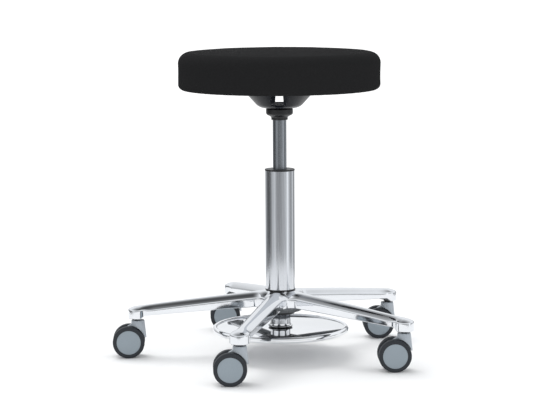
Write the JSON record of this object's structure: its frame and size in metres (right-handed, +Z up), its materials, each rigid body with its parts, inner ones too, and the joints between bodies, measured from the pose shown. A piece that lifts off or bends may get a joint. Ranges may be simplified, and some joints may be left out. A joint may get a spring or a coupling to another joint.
{
  "type": "adjustable swivel stool",
  "caption": "Round padded swivel stool on a gas-lift column and polished star base with twin-wheel casters, raised and lowered by tipping a foot disc under the base.",
  "frame": {"origin": "on the floor, on the axis of the column", "axes": "+Z up along the column; the casters trail towards -X; one arm of the base points along -X"},
  "size_m": [0.5982, 0.6014, 0.627],
  "materials": {
    "cast_aluminium": "polished",
    "column_steel": "brushed along its length",
    "cylinder_steel": "fine ground, matt",
    "disc_polish": "mirror polished",
    "stub_chrome": "mirror",
    "dark_steel": "satin black",
    "black_steel": "satin black",
    "bearing_steel": "bright",
    "rod_steel": "ground",
    "bowl_paint": "gloss blue-black paint",
    "black_plastic": "satin",
    "bush_plastic": "natural",
    "seal_rubber": "matt",
    "plywood": "raw",
    "foam": "open-cell foam",
    "seat_leather": "fine-grained artificial leather, satin",
    "underside_fabric": "non-woven",
    "hood_plastic": "blue-grey, satin",
    "wheel_core": "blue-grey, satin",
    "tyre": "soft anthracite tread"
  },
  "bodies": {
    "base": {"base_star": "cast_aluminium", "stem_sleeves": "black_plastic", "caster_stems": "black_steel", "trim_ring": "black_plastic", "column_tube": "column_steel", "column_cap": "black_plastic", "guide_bush": "bush_plastic", "column_spigot": "dark_steel", "thrust_bearing": "bearing_steel", "foot_housing": "dark_steel"},
    "spindle": {"piston_rod": "rod_steel", "rod_clip": "bearing_steel", "piston": "bush_plastic"},
    "seat": {"gas_cylinder": "cylinder_steel", "rod_seal": "seal_rubber", "mount_socket": "dark_steel", "mount_collar": "black_plastic", "mount_bowl": "bowl_paint", "mount_screws": "bearing_steel", "tee_nuts": "bearing_steel", "seat_board": "plywood", "seat_foam": "foam", "seat_cover": "seat_leather", "underside_cloth": "underside_fabric"},
    "pin": {"release_pin": "rod_steel"},
    "glide": {"glide_ring": "bush_plastic"},
    "foot_plate": {"disc_stub": "stub_chrome", "stub_washer": "dark_steel", "foot_disc": "disc_polish", "plate_screws": "bearing_steel"},
    "caster_1": {"caster_1_hood": "hood_plastic", "caster_1_axle": "bearing_steel"},
    "caster_1_left_wheel": {"caster_1_left_core": "wheel_core", "caster_1_left_tyre": "tyre"},
    "caster_1_right_wheel": {"caster_1_right_core": "wheel_core", "caster_1_right_tyre": "tyre"},
    "caster_2": {"caster_2_hood": "hood_plastic", "caster_2_axle": "bearing_steel"},
    "caster_2_left_wheel": {"caster_2_left_core": "wheel_core", "caster_2_left_tyre": "tyre"},
    "caster_2_right_wheel": {"caster_2_right_core": "wheel_core", "caster_2_right_tyre": "tyre"},
    "caster_3": {"caster_3_hood": "hood_plastic", "caster_3_axle": "bearing_steel"},
    "caster_3_left_wheel": {"caster_3_left_core": "wheel_core", "caster_3_left_tyre": "tyre"},
    "caster_3_right_wheel": {"caster_3_right_core": "wheel_core", "caster_3_right_tyre": "tyre"},
    "caster_4": {"caster_4_hood": "hood_plastic", "caster_4_axle": "bearing_steel"},
    "caster_4_left_wheel": {"caster_4_left_core": "wheel_core", "caster_4_left_tyre": "tyre"},
    "caster_4_right_wheel": {"caster_4_right_core": "wheel_core", "caster_4_right_tyre": "tyre"},
    "caster_5": {"caster_5_hood": "hood_plastic", "caster_5_axle": "bearing_steel"},
    "caster_5_left_wheel": {"caster_5_left_core": "wheel_core", "caster_5_left_tyre": "tyre"},
    "caster_5_right_wheel": {"caster_5_right_core": "wheel_core", "caster_5_right_tyre": "tyre"}
  },
  "joints": [
    {"name": "seat_swivel", "type": "hinge", "parent": "base", "child": "spindle", "pos_m": [0, 0, 0.3], "axis": [0, 0, 1], "continuous": true},
    {"name": "seat_lift", "type": "slide", "parent": "spindle", "child": "seat", "axis": [0, 0, 1], "range_m": [-0.096, 0.084]},
    {"name": "disc_turn", "type": "hinge", "parent": "base", "child": "glide", "pos_m": [0, 0, 0.0915], "axis": [0, 0, 1], "continuous": true},
    {"name": "disc_tip", "type": "hinge", "parent": "glide", "child": "foot_plate", "pos_m": [0.026, 0, 0.0935], "axis": [0, 1, 0], "range_deg": [0, 5], "stiffness_Nm_per_rad": 12},
    {"name": "pin_lift", "type": "slide", "parent": "spindle", "child": "pin", "axis": [0, 0, 1], "range_m": [0, 0.0024]},
    {"name": "caster_1_swivel", "type": "hinge", "parent": "base", "child": "caster_1", "pos_m": [0.23623, 0.17163, 0.06], "axis": [0, 0, 1], "continuous": true},
    {"name": "caster_1_left_roll", "type": "hinge", "parent": "caster_1", "child": "caster_1_left_wheel", "pos_m": [0.21723, 0.18613, 0.0325], "axis": [0, 1, 0], "continuous": true},
    {"name": "caster_1_right_roll", "type": "hinge", "parent": "caster_1", "child": "caster_1_right_wheel", "pos_m": [0.21723, 0.15713, 0.0325], "axis": [0, 1, 0], "continuous": true},
    {"name": "caster_2_swivel", "type": "hinge", "parent": "base", "child": "caster_2", "pos_m": [-0.09023, 0.27771, 0.06], "axis": [0, 0, 1], "continuous": true},
    {"name": "caster_2_left_roll", "type": "hinge", "parent": "caster_2", "child": "caster_2_left_wheel", "pos_m": [-0.10923, 0.29221, 0.0325], "axis": [0, 1, 0], "continuous": true},
    {"name": "caster_2_right_roll", "type": "hinge", "parent": "caster_2", "child": "caster_2_right_wheel", "pos_m": [-0.10923, 0.26321, 0.0325], "axis": [0, 1, 0], "continuous": true},
    {"name": "caster_3_swivel", "type": "hinge", "parent": "base", "child": "caster_3", "pos_m": [-0.292, 0, 0.06], "axis": [0, 0, 1], "continuous": true},
    {"name": "caster_3_left_roll", "type": "hinge", "parent": "caster_3", "child": "caster_3_left_wheel", "pos_m": [-0.311, 0.0145, 0.0325], "axis": [0, 1, 0], "continuous": true},
    {"name": "caster_3_right_roll", "type": "hinge", "parent": "caster_3", "child": "caster_3_right_wheel", "pos_m": [-0.311, -0.0145, 0.0325], "axis": [0, 1, 0], "continuous": true},
    {"name": "caster_4_swivel", "type": "hinge", "parent": "base", "child": "caster_4", "pos_m": [-0.09023, -0.27771, 0.06], "axis": [0, 0, 1], "continuous": true},
    {"name": "caster_4_left_roll", "type": "hinge", "parent": "caster_4", "child": "caster_4_left_wheel", "pos_m": [-0.10923, -0.26321, 0.0325], "axis": [0, 1, 0], "continuous": true},
    {"name": "caster_4_right_roll", "type": "hinge", "parent": "caster_4", "child": "caster_4_right_wheel", "pos_m": [-0.10923, -0.29221, 0.0325], "axis": [0, 1, 0], "continuous": true},
    {"name": "caster_5_swivel", "type": "hinge", "parent": "base", "child": "caster_5", "pos_m": [0.23623, -0.17163, 0.06], "axis": [0, 0, 1], "continuous": true},
    {"name": "caster_5_left_roll", "type": "hinge", "parent": "caster_5", "child": "caster_5_left_wheel", "pos_m": [0.21723, -0.15713, 0.0325], "axis": [0, 1, 0], "continuous": true},
    {"name": "caster_5_right_roll", "type": "hinge", "parent": "caster_5", "child": "caster_5_right_wheel", "pos_m": [0.21723, -0.18613, 0.0325], "axis": [0, 1, 0], "continuous": true}
  ],
  "couplings": [
    {"joint": "pin_lift", "follows": "disc_tip", "m_per_rad": 0.026}
  ]
}
